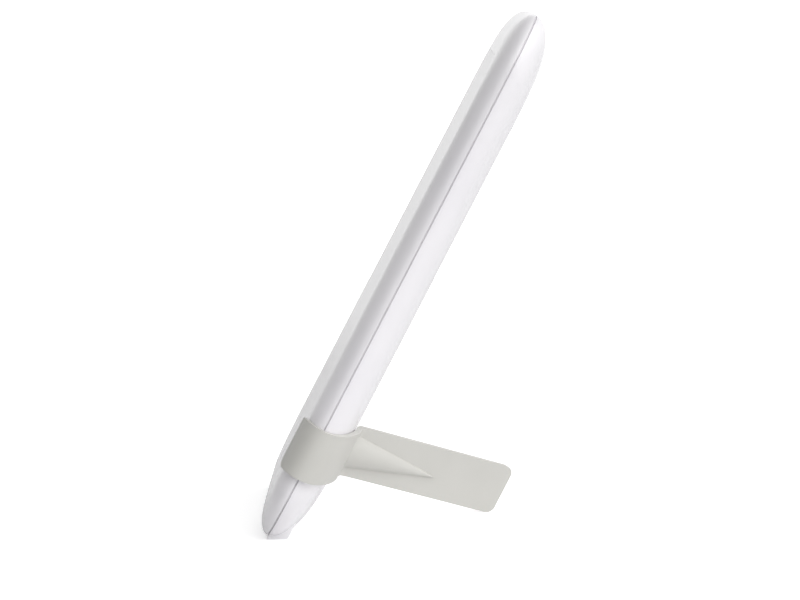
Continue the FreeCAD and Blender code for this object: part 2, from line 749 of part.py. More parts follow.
# metal back plate with a flange behind each light strip and studs for the board
plate_width, plate_height = f"2 * ( {PLATE_SIDE} )", f"2 * ( {PLATE_END} )"
plate = sheet_body("back_plate_sheet", plate_width, plate_height, "plate_corner", PLATE, "plate_thickness")
plate_pieces = [plate]
plate_holes = []
for name, side in (("near", -1), ("far", 1)):
    start_y, end_y = spread(side, LED_BOARD_BACK, FLANGE_BACK)
    low = (GUIDE, start_y, f"- ( {GUIDE_END} )")
    high = (PLATE, end_y, GUIDE_END)
    plate_pieces.append(block(f"flange_{name}", low, high))
    slot_mid = f"{side} * ( {GUIDE_SIDE} )"
    slot_up = f"- ( {GUIDE_END} ) - led_board_tail / 2"
    low = (f"{PLATE} - {MARGIN}", f"{slot_mid} - 2 * lead_radius", f"{slot_up} - 2 * lead_radius")
    high = (f"{PLATE_BACK} + {MARGIN}", f"{slot_mid} + 2 * lead_radius", f"{slot_up} + 2 * lead_radius")
    plate_holes.append(block(f"lead_slot_{name}", low, high))

STUD_SIDE = "( board_width / 2 - stud_inset )"
STUD_END = "( board_height / 2 - stud_inset )"


def screw(name, shank_radius, head_radius, tip, seat, head_height, y, z):
    """A screw through the panel's thickness: a shank up to its seat, and a head on it."""
    shank = rod(f"{name}_shank", shank_radius, tip, seat, y, z)
    head = rod(f"{name}_head", head_radius, seat, f"{seat} + {head_height}", y, z)
    return fuse(name, [shank, head])


def drill(name, radius, start, end, y, z):
    """A hole's cutter that runs past both ends."""
    return rod(name, radius, f"{start} - {MARGIN}", f"{end} + {MARGIN}", y, z)


board_holes = []
board_screws = []
plate_screws = []
standoffs = []
case_screws = []
for number, (side, end) in enumerate(CORNERS, start=1):
    # studs and screws of the driver board
    y, z = f"{side} * {STUD_SIDE}", f"{BOARD_UP} + {end} * {STUD_END}"
    plate_pieces.append(rod(f"stud_{number}", "stud_radius", PLATE_BACK, BOARD, y, z))
    bore = "board_screw_radius + thread_clearance"
    plate_holes.append(rod(f"stud_bore_{number}", bore, PLATE_BACK, f"{BOARD} + {MARGIN}", y, z))
    hole = "board_screw_radius + screw_clearance"
    board_holes.append(drill(f"board_hole_{number}", hole, BOARD, BOARD_TOP, y, z))
    tip = f"{PLATE_BACK} + board_screw_setback"
    radii = ("board_screw_radius", "board_head_radius")
    board_screws.append(screw(f"board_screw_{number}", *radii, tip, BOARD_TOP, "board_head_height", y, z))
    # screws that hold the plate to the bezel
    y, z = f"{side} * ( {PLATE_SCREW_SIDE} )", f"{end} * ( {PLATE_SCREW_END} )"
    hole = "plate_screw_radius + screw_clearance"
    plate_holes.append(drill(f"plate_hole_{number}", hole, PLATE, PLATE_BACK, y, z))
    tip = f"{PLATE_BACK} - plate_screw_length"
    radii = ("plate_screw_radius", "plate_head_radius")
    plate_screws.append(screw(f"plate_screw_{number}", *radii, tip, PLATE_BACK, "plate_head_height", y, z))
    # standoffs and the screws that hold the rear cover
    y, z = f"{side} * ( {CASE_SCREW_SIDE} )", f"{end} * ( {CASE_SCREW_END} )"
    pillar = rod(f"pillar_{number}", "standoff_radius", PLATE_BACK, COVER_SEAT, y, z)
    bore, floor = "case_screw_radius + thread_clearance", f"{PLATE_BACK} + standoff_floor"
    standoff_bore = rod(f"pillar_bore_{number}", bore, floor, f"{COVER_SEAT} + {MARGIN}", y, z)
    standoffs.append(cut(f"standoff_{number}", pillar, [standoff_bore]))
    tip = f"{COVER_SEAT} - case_screw_grip"
    radii = ("case_screw_radius", "case_head_radius")
    case_screws.append(screw(f"case_screw_{number}", *radii, tip, SCREW_SEAT, "case_head_height", y, z))

keep("back_plate", cut("back_plate", fuse("back_plate_blank", plate_pieces), plate_holes))
keep("plate_screws", group("plate_screws", plate_screws))
keep("cover_standoffs", group("cover_standoffs", standoffs))
keep("cover_screws", group("cover_screws", case_screws))
keep("board_screws", group("board_screws", board_screws))

# driver board and what is soldered to it
board = new_body("driver_board_blank")
board_sketch = new_sketch(board, "driver_board_outline", BOARD)
board_sketch.setExpression("AttachmentOffset.Base.y", sized(BOARD_UP))
rounded_rectangle(board_sketch, "board_width", "board_height", "stud_radius")
pad(board, "driver_board_pad", board_sketch, "board_thickness")
keep("driver_board", cut("driver_board", board, board_holes))

coil_up = f"{BOARD_UP} - capacitor_spacing / 2"
coil = rod("coil_core", "coil_radius", BOARD_TOP, f"{BOARD_TOP} + coil_height", "0", coil_up)
keep("driver_coil", group("driver_coil", [coil]))
capacitors = []
for number, side in enumerate((-1, 1), start=1):
    y = f"{side} * capacitor_spacing / 2"
    z = f"{BOARD_UP} + capacitor_spacing"
    top = f"{BOARD_TOP} + capacitor_height"
    capacitors.append(rod(f"capacitor_{number}", "capacitor_radius", BOARD_TOP, top, y, z))
keep("driver_capacitors", group("driver_capacitors", capacitors))

low = (BOARD_TOP, "- chip_width / 2", f"{BOARD_UP} - board_height / 2 + stud_inset / 2")
high = (f"{BOARD_TOP} + chip_height", "chip_width / 2", f"{low[2]} + chip_length")
keep("driver_chip", group("driver_chip", [block("driver_chip_box", low, high)]))

connectors = []
for name, side in (("near", -1), ("far", 1)):
    start_y, end_y = spread(side, "board_width / 2 - connector_length", "board_width / 2")
    low = (BOARD_TOP, start_y, f"{BOARD_UP} - connector_width / 2")
    high = (f"{BOARD_TOP} + connector_height", end_y, f"{BOARD_UP} + connector_width / 2")
    connectors.append(block(f"connector_{name}", low, high))
keep("lead_connectors", group("lead_connectors", connectors))


def lead_path(side):
    """The lead's route from its connector, over the board's lower edge and through the plate's slot."""
    level = total(f"{BOARD_TOP} + connector_height - 1.5 * lead_radius")
    behind_plate = total(f"{PLATE_BACK} + lead_plate_gap + lead_radius")
    start_side = side * total("board_width / 2 - connector_length / 2")
    start_up = total(f"{BOARD_UP} - connector_width / 2")
    turn_up = total(f"{BOARD_UP} - board_height / 2 - lead_below_board")
    slot_side = side * total(GUIDE_SIDE)
    slot_up = total(f"- ( {GUIDE_END} ) - led_board_tail / 2")
    return [
        FreeCAD.Vector(level, start_side, start_up),
        FreeCAD.Vector(level, start_side, turn_up),
        FreeCAD.Vector(behind_plate, slot_side, slot_up),
        FreeCAD.Vector(total(f"{GUIDE} + lead_radius"), slot_side, slot_up),
    ]


def lead(side):
    """A round lead along straight runs joined by tangent arcs."""
    points = lead_path(side)
    share = 0.45  # of the shorter run, taken up by each arc
    edges = []
    start = points[0]
    for before, corner, after in zip(points, points[1:], points[2:]):
        into, out = (corner - before), (after - corner)
        trim = share * min(into.Length, out.Length)
        first = corner - into.normalize() * trim
        last = corner + out.normalize() * trim
        half_turn = into.getAngle(out) / 2
        radius = trim / math.tan(half_turn)
        inward = (out - into).normalize()
        middle = corner + inward * (radius / math.cos(half_turn) - radius)
        edges.append(Part.LineSegment(start, first).toShape())
        edges.append(Part.Arc(first, middle, last).toShape())
        start = last
    edges.append(Part.LineSegment(start, points[-1]).toShape())
    path = Part.Wire(edges)
    ring = Part.makeCircle(size("lead_radius"), points[0], points[1] - points[0])
    return path.makePipeShell([Part.Wire(ring)], True, True)


keep("lead_near", feature("lead_near", lead(-1)))
keep("lead_far", feature("lead_far", lead(1)))

# power inlet: a round socket that stands on the board and shows through the cover
socket_at = ("socket_across", BOARD_UP)
SOCKET_SHOULDER = f"{COVER_INNER} - cover_clearance"
SOCKET_MOUTH = "rear_depth - socket_recess"
SOCKET_FLOOR = f"{SOCKET_MOUTH} - socket_bore_depth"
low = (BOARD_TOP, "socket_across - socket_width / 2", f"{BOARD_UP} - socket_length / 2")
high = (SOCKET_SHOULDER, "socket_across + socket_width / 2", f"{BOARD_UP} + socket_length / 2")
socket_block = block("socket_block", low, high)
collar = rod("socket_collar", "socket_collar_radius", SOCKET_SHOULDER, SOCKET_MOUTH, *socket_at)
bore = rod("socket_bore", "socket_bore_radius", SOCKET_FLOOR, f"{SOCKET_MOUTH} + {MARGIN}", *socket_at)
keep("dc_socket", cut("dc_socket", fuse("socket_blank", [socket_block, collar]), [bore]))
tip = f"{SOCKET_MOUTH} - socket_pin_setback"
pin = rod("socket_pin_rod", "socket_pin_radius", SOCKET_FLOOR, tip, *socket_at)
keep("dc_socket_pin", group("dc_socket_pin", [pin]))

# power button over a push switch
button_at = ("button_across", BOARD_UP)
SWITCH_TOP = f"{BOARD_TOP} + switch_height"
FLANGE_TOP = f"{COVER_INNER} - button_seat_gap"
FLANGE_BOTTOM = f"{FLANGE_TOP} - button_flange_thickness"
low = (BOARD_TOP, "button_across - switch_width / 2", f"{BOARD_UP} - switch_width / 2")
high = (SWITCH_TOP, "button_across + switch_width / 2", f"{BOARD_UP} + switch_width / 2")
well_floor = f"{SWITCH_TOP} - plunger_depth - button_travel - plunger_clearance"
well_radius = "plunger_radius + plunger_clearance"
well = rod("switch_well", well_radius, well_floor, f"{SWITCH_TOP} + {MARGIN}", *button_at)
keep("push_switch", cut("push_switch", block("switch_block", low, high), [well]))
sunk, rest = f"{SWITCH_TOP} - plunger_depth", f"{SWITCH_TOP} + plunger_rise"
plunger = rod("plunger_rod", "plunger_radius", sunk, rest, *button_at)
keep("switch_plunger", group("switch_plunger", [plunger]))
cap = rod("button_cap", "button_radius", FLANGE_BOTTOM, "rear_depth + button_proud", *button_at)
flange = rod("button_rim", "button_radius + button_flange", FLANGE_BOTTOM, FLANGE_TOP, *button_at)
stem = rod("button_stem", "button_stem_radius", rest, FLANGE_BOTTOM, *button_at)
keep("power_button", fuse("power_button", [cap, flange, stem]))

# ---------------------------------------------------------------- lean back, stand on the table, write

doc.recompute()
lean = FreeCAD.Rotation(FreeCAD.Vector(0, 1, 0), size("lean_angle"))
together = Part.makeCompound([item.Shape.copy() for item in parts.values()])
together.Placement = FreeCAD.Placement(FreeCAD.Vector(0, 0, 0), lean)
box = together.optimalBoundingBox()
table = floor_height(0) * math.cos(math.radians(size("lean_angle")))
stand_on_table = FreeCAD.Vector(-box.Center.x, -box.Center.y, -table)
for item in parts.values():
    item.Placement = FreeCAD.Placement(stand_on_table, lean)
doc.recompute()

for item in doc.Objects:
    if {"Invalid", "Error"} & set(item.State):
        raise RuntimeError(f"{item.Label} did not compute: {item.State}")
for label, item in parts.items():
    if item.Shape.isNull() or not item.Shape.isValid():
        raise RuntimeError(f"{label} has no valid shape")
for label, item in parts.items():
    item.Shape.exportStep(f"parts/{label}.step")
    print(label, len(item.Shape.Solids), round(item.Shape.Volume, 1))
box = Part.makeCompound([item.Shape for item in parts.values()]).optimalBoundingBox()
print("box", [round(v, 2) for v in (box.XMin, box.XMax, box.YMin, box.YMax, box.ZMin, box.ZMax)])
print("shift", stand_on_table)
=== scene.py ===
import math

import bmesh
import bpy
from mathutils import Matrix, Vector


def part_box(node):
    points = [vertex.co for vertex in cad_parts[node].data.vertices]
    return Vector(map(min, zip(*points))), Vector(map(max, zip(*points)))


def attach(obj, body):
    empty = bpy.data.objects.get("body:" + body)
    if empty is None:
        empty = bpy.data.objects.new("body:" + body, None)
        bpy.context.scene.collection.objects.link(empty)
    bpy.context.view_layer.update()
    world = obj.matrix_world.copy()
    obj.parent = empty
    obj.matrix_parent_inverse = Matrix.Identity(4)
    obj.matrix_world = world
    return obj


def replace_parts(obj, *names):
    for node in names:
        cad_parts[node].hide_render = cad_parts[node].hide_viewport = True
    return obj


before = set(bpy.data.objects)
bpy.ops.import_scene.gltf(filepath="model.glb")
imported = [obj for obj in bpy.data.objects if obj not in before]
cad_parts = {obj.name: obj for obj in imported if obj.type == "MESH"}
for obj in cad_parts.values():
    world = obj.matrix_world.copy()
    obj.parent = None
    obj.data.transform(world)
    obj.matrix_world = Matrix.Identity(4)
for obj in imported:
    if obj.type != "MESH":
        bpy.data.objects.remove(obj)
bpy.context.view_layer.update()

# A slim light panel that leans back on a clip-on stand.
# Pieces are modelled in millimetres in the panel's own frame: X through the panel from its
# light side to its back, Y across it, Z up it, all from its middle. settle() then leans each
# piece back and puts it in the frame, in metres.


# ---------------------------------------------------------------- camera

CAMERA_PLACE = (0.0067, -1.3084, 0.2315)  # metres
CAMERA_TURN = (83.88, 0.132, 0.345)  # degrees
CAMERA_LENS = 140.74  # millimetres, on a 36 mm sensor


def studio_camera():
    """Looks along +Y at the panel's near edge from a little above it, with a long lens."""
    data = bpy.data.cameras.new("camera")
    camera = bpy.data.objects.new("camera", data)
    bpy.context.scene.collection.objects.link(camera)
    camera.location = CAMERA_PLACE
    camera.rotation_euler = [math.radians(angle) for angle in CAMERA_TURN]
    data.lens, data.sensor_width = CAMERA_LENS, 36.0
    data.clip_start, data.clip_end = 0.05, 50.0
    bpy.context.scene.camera = camera


studio_camera()

# ---------------------------------------------------------------- sizes, in millimetres

# the casing's outline: two bowed sides, two bowed ends, four round corners
HALF_HEIGHT, HALF_WIDTH = 119.0, 78.0
CORNER = 26.0
END_BOW, SIDE_BOW = 1.0, 1.5
LEAN = math.radians(27.46)
WALL = 1.8
# each half rolls from the seam to its flat: how deep it is, and how far its sides and ends draw in
FRONT = {"side": -1, "depth": 7.5, "roll_side": 17.0, "roll_end": 18.0}
REAR = {"side": 1, "depth": 12.4, "roll_side": 31.0, "roll_end": 28.0}
SEAM_HALF, SEAM_DEPTH = 0.25, 1.1
# the rear half's lip inside the front half: its reach ahead of the seam, its two faces and its root
LIP_REACH, LIP_OUTSIDE, LIP_INSIDE, LIP_ROOT = 1.6, 1.95, 2.75, 2.0
WINDOW_SIDE, WINDOW_END, WINDOW_CORNER, WINDOW_SOFT = 59.92, 96.92, 13.92, 0.35
# the front roll stops a little short of flat, so that its last ring passes outside the window's
# corners; that ring lies less than RING_SHORT from the face's depth, and the ring before it more
FACE_TURN, RING_SHORT = 84, 0.06
FLOOR_GAP = 0.35
SCREW_SIDE, SCREW_END = 52.0, 72.0
SCREW_SEAT, SCREW_LENGTH, SCREW_RADIUS = 7.25, 5.6, 1.25
HEAD_RADIUS, HEAD_HEIGHT, HEAD_CLEAR = 2.8, 2.2, 0.35
BOARD_UP, BOARD_TOP = -63.0, 3.85
SOCKET_ACROSS, SOCKET_HOLE = -20.0, 4.3
BUTTON_ACROSS, BUTTON_HOLE = 20.0, 6.3
HOLE_SOFT = 0.3

# where the panel's middle lies in the frame, from the light guide, whose own middle is ahead of it
GUIDE_AHEAD = 0.00235
guide_low, guide_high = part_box("light_guide")
TURN = Matrix.Rotation(LEAN, 4, "Y")
MIDDLE = (guide_low + guide_high) / 2 - TURN @ Vector((-GUIDE_AHEAD, 0, 0))
PLACE = Matrix.Translation(MIDDLE) @ TURN @ Matrix.Scale(0.001, 4)

# ---------------------------------------------------------------- modelling helpers


def nothing_selected():
    """Back to object mode with nothing selected."""
    if bpy.context.mode != "OBJECT":
        bpy.ops.object.mode_set(mode="OBJECT")
    bpy.ops.object.select_all(action="DESELECT")


def only(piece):
    """Makes one piece the active and selected one, in object mode."""
    nothing_selected()
    piece.select_set(True)
    bpy.context.view_layer.objects.active = piece
    return piece


def edit(piece):
    """Makes one piece the active one, in edit mode."""
    only(piece)
    bpy.ops.object.mode_set(mode="EDIT")


def pick(test, kind="verts"):
    """In edit mode, selects the points that pass a test, or the edges whose two ends do, and no others."""
    mesh = bmesh.from_edit_mesh(bpy.context.object.data)
    bpy.ops.mesh.select_all(action="DESELECT")
    if kind == "verts":
        for point in mesh.verts:
            point.select = test(point.co)
        mesh.select_flush(True)
    else:
        for line in mesh.edges:
            line.select = all(test(point.co) for point in line.verts)
        mesh.select_flush_mode()
    bmesh.update_edit_mesh(bpy.context.object.data)


def face_outwards():
    """In edit mode, turns every face of the closed shell outwards."""
    bpy.ops.mesh.select_all(action="SELECT")
    bpy.ops.mesh.normals_make_consistent(inside=False)


def start_point(name, place):
    """A new piece with a single selected point, in edit mode."""
    nothing_selected()
    bpy.ops.mesh.primitive_plane_add(size=1)
    piece = bpy.context.object
    piece.name = piece.data.name = name
    bpy.ops.object.mode_set(mode="EDIT")
    bpy.ops.mesh.select_mode(type="VERT")
    bpy.ops.mesh.select_all(action="SELECT")
    bpy.ops.mesh.merge(type="CENTER")
    bpy.ops.transform.translate(value=place)
    return piece


def extrude(step, stretch=(1, 1, 1), about=(0, 0, 0)):
    """Extrudes what is selected by a step and stretches the new end."""
    bpy.ops.mesh.extrude_region_move(TRANSFORM_OT_translate={"value": step})
    if tuple(stretch) != (1, 1, 1):
        bpy.ops.transform.resize(value=stretch, center_override=about)


def modify(piece, kind, **settings):
    """Adds a modifier with its settings and applies it."""
    only(piece)
    modifier = piece.modifiers.new(kind.lower(), kind)
    for name, value in settings.items():
        setattr(modifier, name, value)
    bpy.ops.object.modifier_apply(modifier=modifier.name)


def smooth(piece, degrees=35.0, crisp=None):
    """Smooth shading that stays crisp at corners over an angle, and along edges that a test picks."""
    only(piece)
    bpy.ops.object.shade_smooth_by_angle(angle=math.radians(degrees))
    if crisp:
        edit(piece)
        pick(crisp, "edges")
        bpy.ops.mesh.mark_sharp()
    modify(piece, "WEIGHTED_NORMAL", keep_sharp=True)


def settle(piece, body, slot, *nodes):
    """Leans a finished piece back, puts it in the frame and lets it ride and stand for its nodes."""
    only(piece)
    piece.matrix_world = PLACE
    bpy.ops.object.transform_apply(location=True, rotation=True, scale=True)
    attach(piece, body)
    if nodes:
        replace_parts(piece, *nodes)
    return piece


def cylinder(name, radius, start, end, y, z, sides=64):
    """A round bar through the panel's thickness, to be shaped or to cut with."""
    nothing_selected()
    bpy.ops.mesh.primitive_cylinder_add(
        vertices=sides, radius=radius, depth=end - start,
        location=((start + end) / 2, y, z), rotation=(0, math.radians(90), 0))
    piece = bpy.context.object
    piece.name = piece.data.name = name
    bpy.ops.object.transform_apply(location=True, rotation=True, scale=True)
    return piece


def join(pieces):
    """Makes one piece of several, named as the first."""
    only(pieces[0])
    for piece in pieces[1:]:
        piece.select_set(True)
    bpy.ops.object.join()
    return pieces[0]


def carve(piece, tool, operation="DIFFERENCE"):
    """Cuts a tool out of a piece, or melts the two together for a UNION, and removes the tool."""
    modify(piece, "BOOLEAN", operation=operation, object=tool, solver="EXACT")
    bpy.data.objects.remove(tool)


# ---------------------------------------------------------------- the casing's outline and rings

ARC_STEPS = {"side": 16, "corner": 14, "end": 24}
# a ring's last point comes back to its first to within this, and the two are merged
RING_CLOSE = 0.02


def draw_outline(name, x, half_width, half_height, corner, end_bow, side_bow):
    """A closed ring of eight arcs at one depth: two bowed sides, two bowed ends, four round corners."""
    side_radius = (half_height**2 + side_bow**2) / (2 * side_bow)
    end_radius = (half_width**2 + end_bow**2) / (2 * end_bow)
    side_centre, end_centre = half_width - side_radius, half_height - end_radius
    # a corner's centre lies one corner radius inside both big arcs
    gap = math.hypot(side_centre, end_centre)
    near, far = side_radius - corner, end_radius - corner
    along = (near**2 - far**2 + gap**2) / (2 * gap)
    off = math.sqrt(near**2 - along**2)
    step_y, step_z = -side_centre / gap, end_centre / gap
    corner_y = side_centre + along * step_y - off * step_z
    corner_z = along * step_z + off * step_y
    side_turn = math.atan2(corner_z, corner_y - side_centre)
    end_turn = math.atan2(corner_z - end_centre, corner_y)
    arcs = [("side", side_centre, 0, side_turn)]
    for quarter, (sign_y, sign_z) in enumerate([(1, 1), (-1, 1), (-1, -1), (1, -1)]):
        arcs.append(("corner", sign_y * corner_y, sign_z * corner_z, end_turn - side_turn))
        if quarter in (0, 2):
            arcs.append(("end", 0, sign_z * end_centre, math.pi - 2 * end_turn))
        elif quarter == 1:
            arcs += [("side", -side_centre, 0, side_turn)] * 2
    arcs.append(("side", side_centre, 0, side_turn))
    piece = start_point(name, (x, half_width, 0))
    for kind, y, z, turn in arcs:
        bpy.ops.mesh.spin(steps=ARC_STEPS[kind], angle=-turn, center=(x, y, z), axis=(1, 0, 0))
    bpy.ops.mesh.select_all(action="SELECT")
    bpy.ops.mesh.remove_doubles(threshold=RING_CLOSE)
    bpy.ops.mesh.select_all(action="SELECT")
    return piece


def roll(half, inset, first, last, steps):
    """Rings along one half's rounded edge, from one turn to another, as (x, half width, half height)."""
    rings = []
    for step in range(steps + 1):
        turn = math.radians(first + (last - first) * step / steps)
        x = half["side"] * (half["depth"] - inset) * math.sin(turn)
        width = HALF_WIDTH - inset - (half["roll_side"] - inset) * (1 - math.cos(turn))
        height = HALF_HEIGHT - inset - (half["roll_end"] - inset) * (1 - math.cos(turn))
        rings.append((x, width, height))
    return rings


def ring(x, inset):
    """A ring with the casing's full outline, drawn in all round by an inset."""
    return (x, HALF_WIDTH - inset, HALF_HEIGHT - inset)


def turn_at(half, inset, x):
    """The turn, in degrees, at which one half's edge reaches a depth."""
    return math.degrees(math.asin(abs(x) / (half["depth"] - inset)))


def loft(name, rings):
    """Extrudes the casing's outline through a list of rings, drawn in as each ring says."""
    x, width, height = rings[0]
    piece = draw_outline(name, x, HALF_WIDTH, HALF_HEIGHT, CORNER, END_BOW, SIDE_BOW)
    bpy.ops.transform.resize(value=(1, width / HALF_WIDTH, height / HALF_HEIGHT),
                             center_override=(0, 0, 0))
    for next_x, next_width, next_height in rings[1:]:
        extrude((next_x - x, 0, 0), (1, next_width / width, next_height / height))
        x, width, height = next_x, next_width, next_height
    return piece


def seam_edge(half, inset_start, rounding):
    """Rings over the step and the softened edge where one half meets the other, and the turn at which
    its roll goes on. The softened edge stays a hundredth of a millimetre inside the outline."""
    side = half["side"]
    rings = [ring(0, inset_start), ring(0, SEAM_DEPTH), ring(side * SEAM_HALF, SEAM_DEPTH)]
    for share in (0, 0.25, 0.5, 0.75):
        turn = math.radians(90 * share)
        x = SEAM_HALF + rounding * (1 - math.cos(turn))
        rings.append(ring(side * x, rounding * (1 - math.sin(turn)) + 0.01))
    return rings, turn_at(half, 0, SEAM_HALF + rounding)


def front_shell():
    """Front half of the casing: rolled edge, flat face and the window for the diffuser."""
    edge, start = seam_edge(FRONT, WALL, 0.2)
    outside, inside = -FRONT["depth"], WALL - FRONT["depth"]
    inner, outer = roll(FRONT, WALL, FACE_TURN, 2, 16), roll(FRONT, 0, start, FACE_TURN, 20)
    shell = loft("front_shell", inner + edge + outer)
    # the window's wall has as many points as the face's inner ring, so the two bridge cleanly
    wall = draw_outline("window_wall", outside, WINDOW_SIDE, WINDOW_END, WINDOW_CORNER, 0.01, 0.01)
    extrude((WALL, 0, 0))
    bpy.ops.object.mode_set(mode="OBJECT")
    shell = join([shell, wall])
    edit(shell)
    for x in (outside, inside):
        pick(lambda place: abs(place.x - x) < RING_SHORT)
        bpy.ops.mesh.bridge_edge_loops()
    pick(lambda place: abs(place.x - outside) < 0.001, "edges")
    bpy.ops.mesh.bevel(offset=WINDOW_SOFT, segments=3, affect="EDGES")
    face_outwards()
    smooth(shell)
    return settle(shell, "lamp", "white_gloss_shell", "front_bezel")


def rear_shell():
    """Rear half of the casing: lip inside the front half, deep rolled edge and flat back with holes."""
    edge, start = seam_edge(REAR, LIP_OUTSIDE, 0.35)
    inner, outer = roll(REAR, WALL, 90, turn_at(REAR, WALL, LIP_ROOT), 18), roll(REAR, 0, start, 90, 26)
    # the lip draws in as the front half's roll does over its reach
    lip_draw = FRONT["roll_side"] * (1 - math.cos(math.radians(turn_at(FRONT, 0, LIP_REACH))))
    lip = [ring(LIP_ROOT, LIP_INSIDE), ring(0, LIP_INSIDE), ring(-LIP_REACH, LIP_INSIDE + lip_draw),
           ring(-LIP_REACH, LIP_OUTSIDE + lip_draw)]
    shell = loft("rear_shell", inner + lip + edge + outer)
    for x in (REAR["depth"], REAR["depth"] - WALL):
        pick(lambda place: abs(place.x - x) < 0.001)
        bpy.ops.mesh.edge_face_add()
    face_outwards()
    holes = [(HEAD_RADIUS + HEAD_CLEAR, y * SCREW_SIDE, z * SCREW_END) for y in (-1, 1) for z in (-1, 1)]
    holes += [(SOCKET_HOLE, SOCKET_ACROSS, BOARD_UP), (BUTTON_HOLE, BUTTON_ACROSS, BOARD_UP)]
    deep, top = REAR["depth"] - 4 * WALL, REAR["depth"] + 2
    carve(shell, join([cylinder("hole", radius, deep, top, y, z) for radius, y, z in holes]))
    # the underside is cut level with the table where the feet hold it up
    slab_thick = 20
    nothing_selected()
    bpy.ops.mesh.primitive_cube_add(size=1, scale=(80, 200, slab_thick))
    slab = bpy.context.object
    slab.matrix_world = (Matrix.Translation((0, 0, -HALF_HEIGHT)) @ Matrix.Rotation(-LEAN, 4, "Y")
                         @ Matrix.Translation((0, 0, -slab_thick / 2)) @ slab.matrix_world)
    carve(shell, slab)
    edit(shell)

    def on_hole_rim(place):
        near = (abs(math.hypot(place.y - y, place.z - z) - radius) < 0.02 for radius, y, z in holes)
        return place.x > REAR["depth"] - HOLE_SOFT and any(near)

    pick(on_hole_rim, "edges")
    bpy.ops.mesh.bevel(offset=HOLE_SOFT, segments=3, affect="EDGES")
    smooth(shell)
    return settle(shell, "lamp", "white_gloss_shell", "rear_cover")


front = front_shell()
rear = rear_shell()

# ---------------------------------------------------------------- the clip-on stand

# wall thickness and clearance round the panel, and how far the wall's far face and middle lie from it
CLIP_THICK, CLIP_CLEAR = 2.2, 0.3
CLIP_GROWTH = CLIP_CLEAR + CLIP_THICK
CLIP_MID = CLIP_CLEAR + CLIP_THICK / 2
# the cuff's height, its rise to the tongue's root and its lower edge
CLIP_TALL, CLIP_RISE = 22.0, 3.6
CLIP_BASE = -HALF_HEIGHT + 30.8
# the front lip's reach over the face and the rounding of its corners
LIP_FREE, LIP_LOW_CORNER, LIP_HIGH_CORNER = 10.0, 4.0, 1.3
ARM_REACH, BEND, CLIP_SOFT = 31.0, 6.0, 0.45
TONGUE_END, TONGUE_TIP, TONGUE_CORNER = 82.8, 5.0, 3.5
RIB_RADIUS, RIB_HEIGHT, RIB_LENGTH, RIB_DROP, RIB_TIP = 8.0, 3.7, 44.0, 1.6, 0.05
# rows of faces up the wall, and its stations: along the rounded lip by their distance from its free
# end, then by number round the front roll, the rear roll, the bend, the tongue and its rounded corners
CLIP_ROWS = 8
LIP_STARTS = (0.0, 0.12, 0.35, 0.75, 1.3, 1.9, 2.6, 3.3, 4.0, 5.0, 6.2, 7.4, 8.6)
FRONT_STEPS, REAR_STEPS, BEND_STEPS, TONGUE_STEPS, CORNER_STEPS = 5, 18, 8, 24, 10


def floor_level(x):
    """The table's height at one depth, in the panel's frame."""
    return -HALF_HEIGHT - FLOOR_GAP + x * math.tan(LEAN)


def tongue_lines():
    """Seen along the panel's width: the tongue's root, its two corners' centres and its edges' slope."""
    root = REAR["depth"] + CLIP_GROWTH
    centre_x = TONGUE_END - TONGUE_CORNER
    low_z = floor_level(centre_x) + TONGUE_CORNER / math.cos(LEAN)
    reach_x, reach_z = centre_x - root, low_z - (CLIP_BASE + CLIP_RISE)
    slope = math.atan2(reach_z, reach_x) - math.asin(TONGUE_CORNER / math.hypot(reach_x, reach_z))
    high_z = (CLIP_BASE + CLIP_TALL + CLIP_RISE + reach_x * math.tan(slope)
              - TONGUE_CORNER / math.cos(slope))
    return root, centre_x, low_z, high_z, slope


def clip_levels(x):
    """The stand's lower and upper edge at one depth: level cuff, curved up to the root, rising tongue."""
    root, centre_x, low_z, high_z, slope = tongue_lines()
    sweep = (root**2 + CLIP_RISE**2) / (2 * CLIP_RISE)
    if x <= 0:
        rise = 0.0
    elif x <= root:
        rise = sweep - math.sqrt(sweep**2 - x**2)
    else:
        rise = CLIP_RISE + (x - root) * math.tan(slope)
    low, high = CLIP_BASE + rise, CLIP_BASE + CLIP_TALL + rise
    past = x - centre_x
    if past > TONGUE_CORNER * math.sin(slope):
        low = low_z - math.sqrt(max(TONGUE_CORNER**2 - past**2, 0.0))
    if past > -TONGUE_CORNER * math.sin(slope):
        high = high_z + math.sqrt(max(TONGUE_CORNER**2 - past**2, 0.0))
    return low, high


def lip_levels(start):
    """The front lip's lower and upper edge at a distance from its free end."""
    low, high = clip_levels(-1)
    if start < LIP_LOW_CORNER:
        low += LIP_LOW_CORNER - math.sqrt(LIP_LOW_CORNER**2 - (LIP_LOW_CORNER - start)**2)
    if start < LIP_HIGH_CORNER:
        high -= LIP_HIGH_CORNER - math.sqrt(LIP_HIGH_CORNER**2 - (LIP_HIGH_CORNER - start)**2)
    return low, high


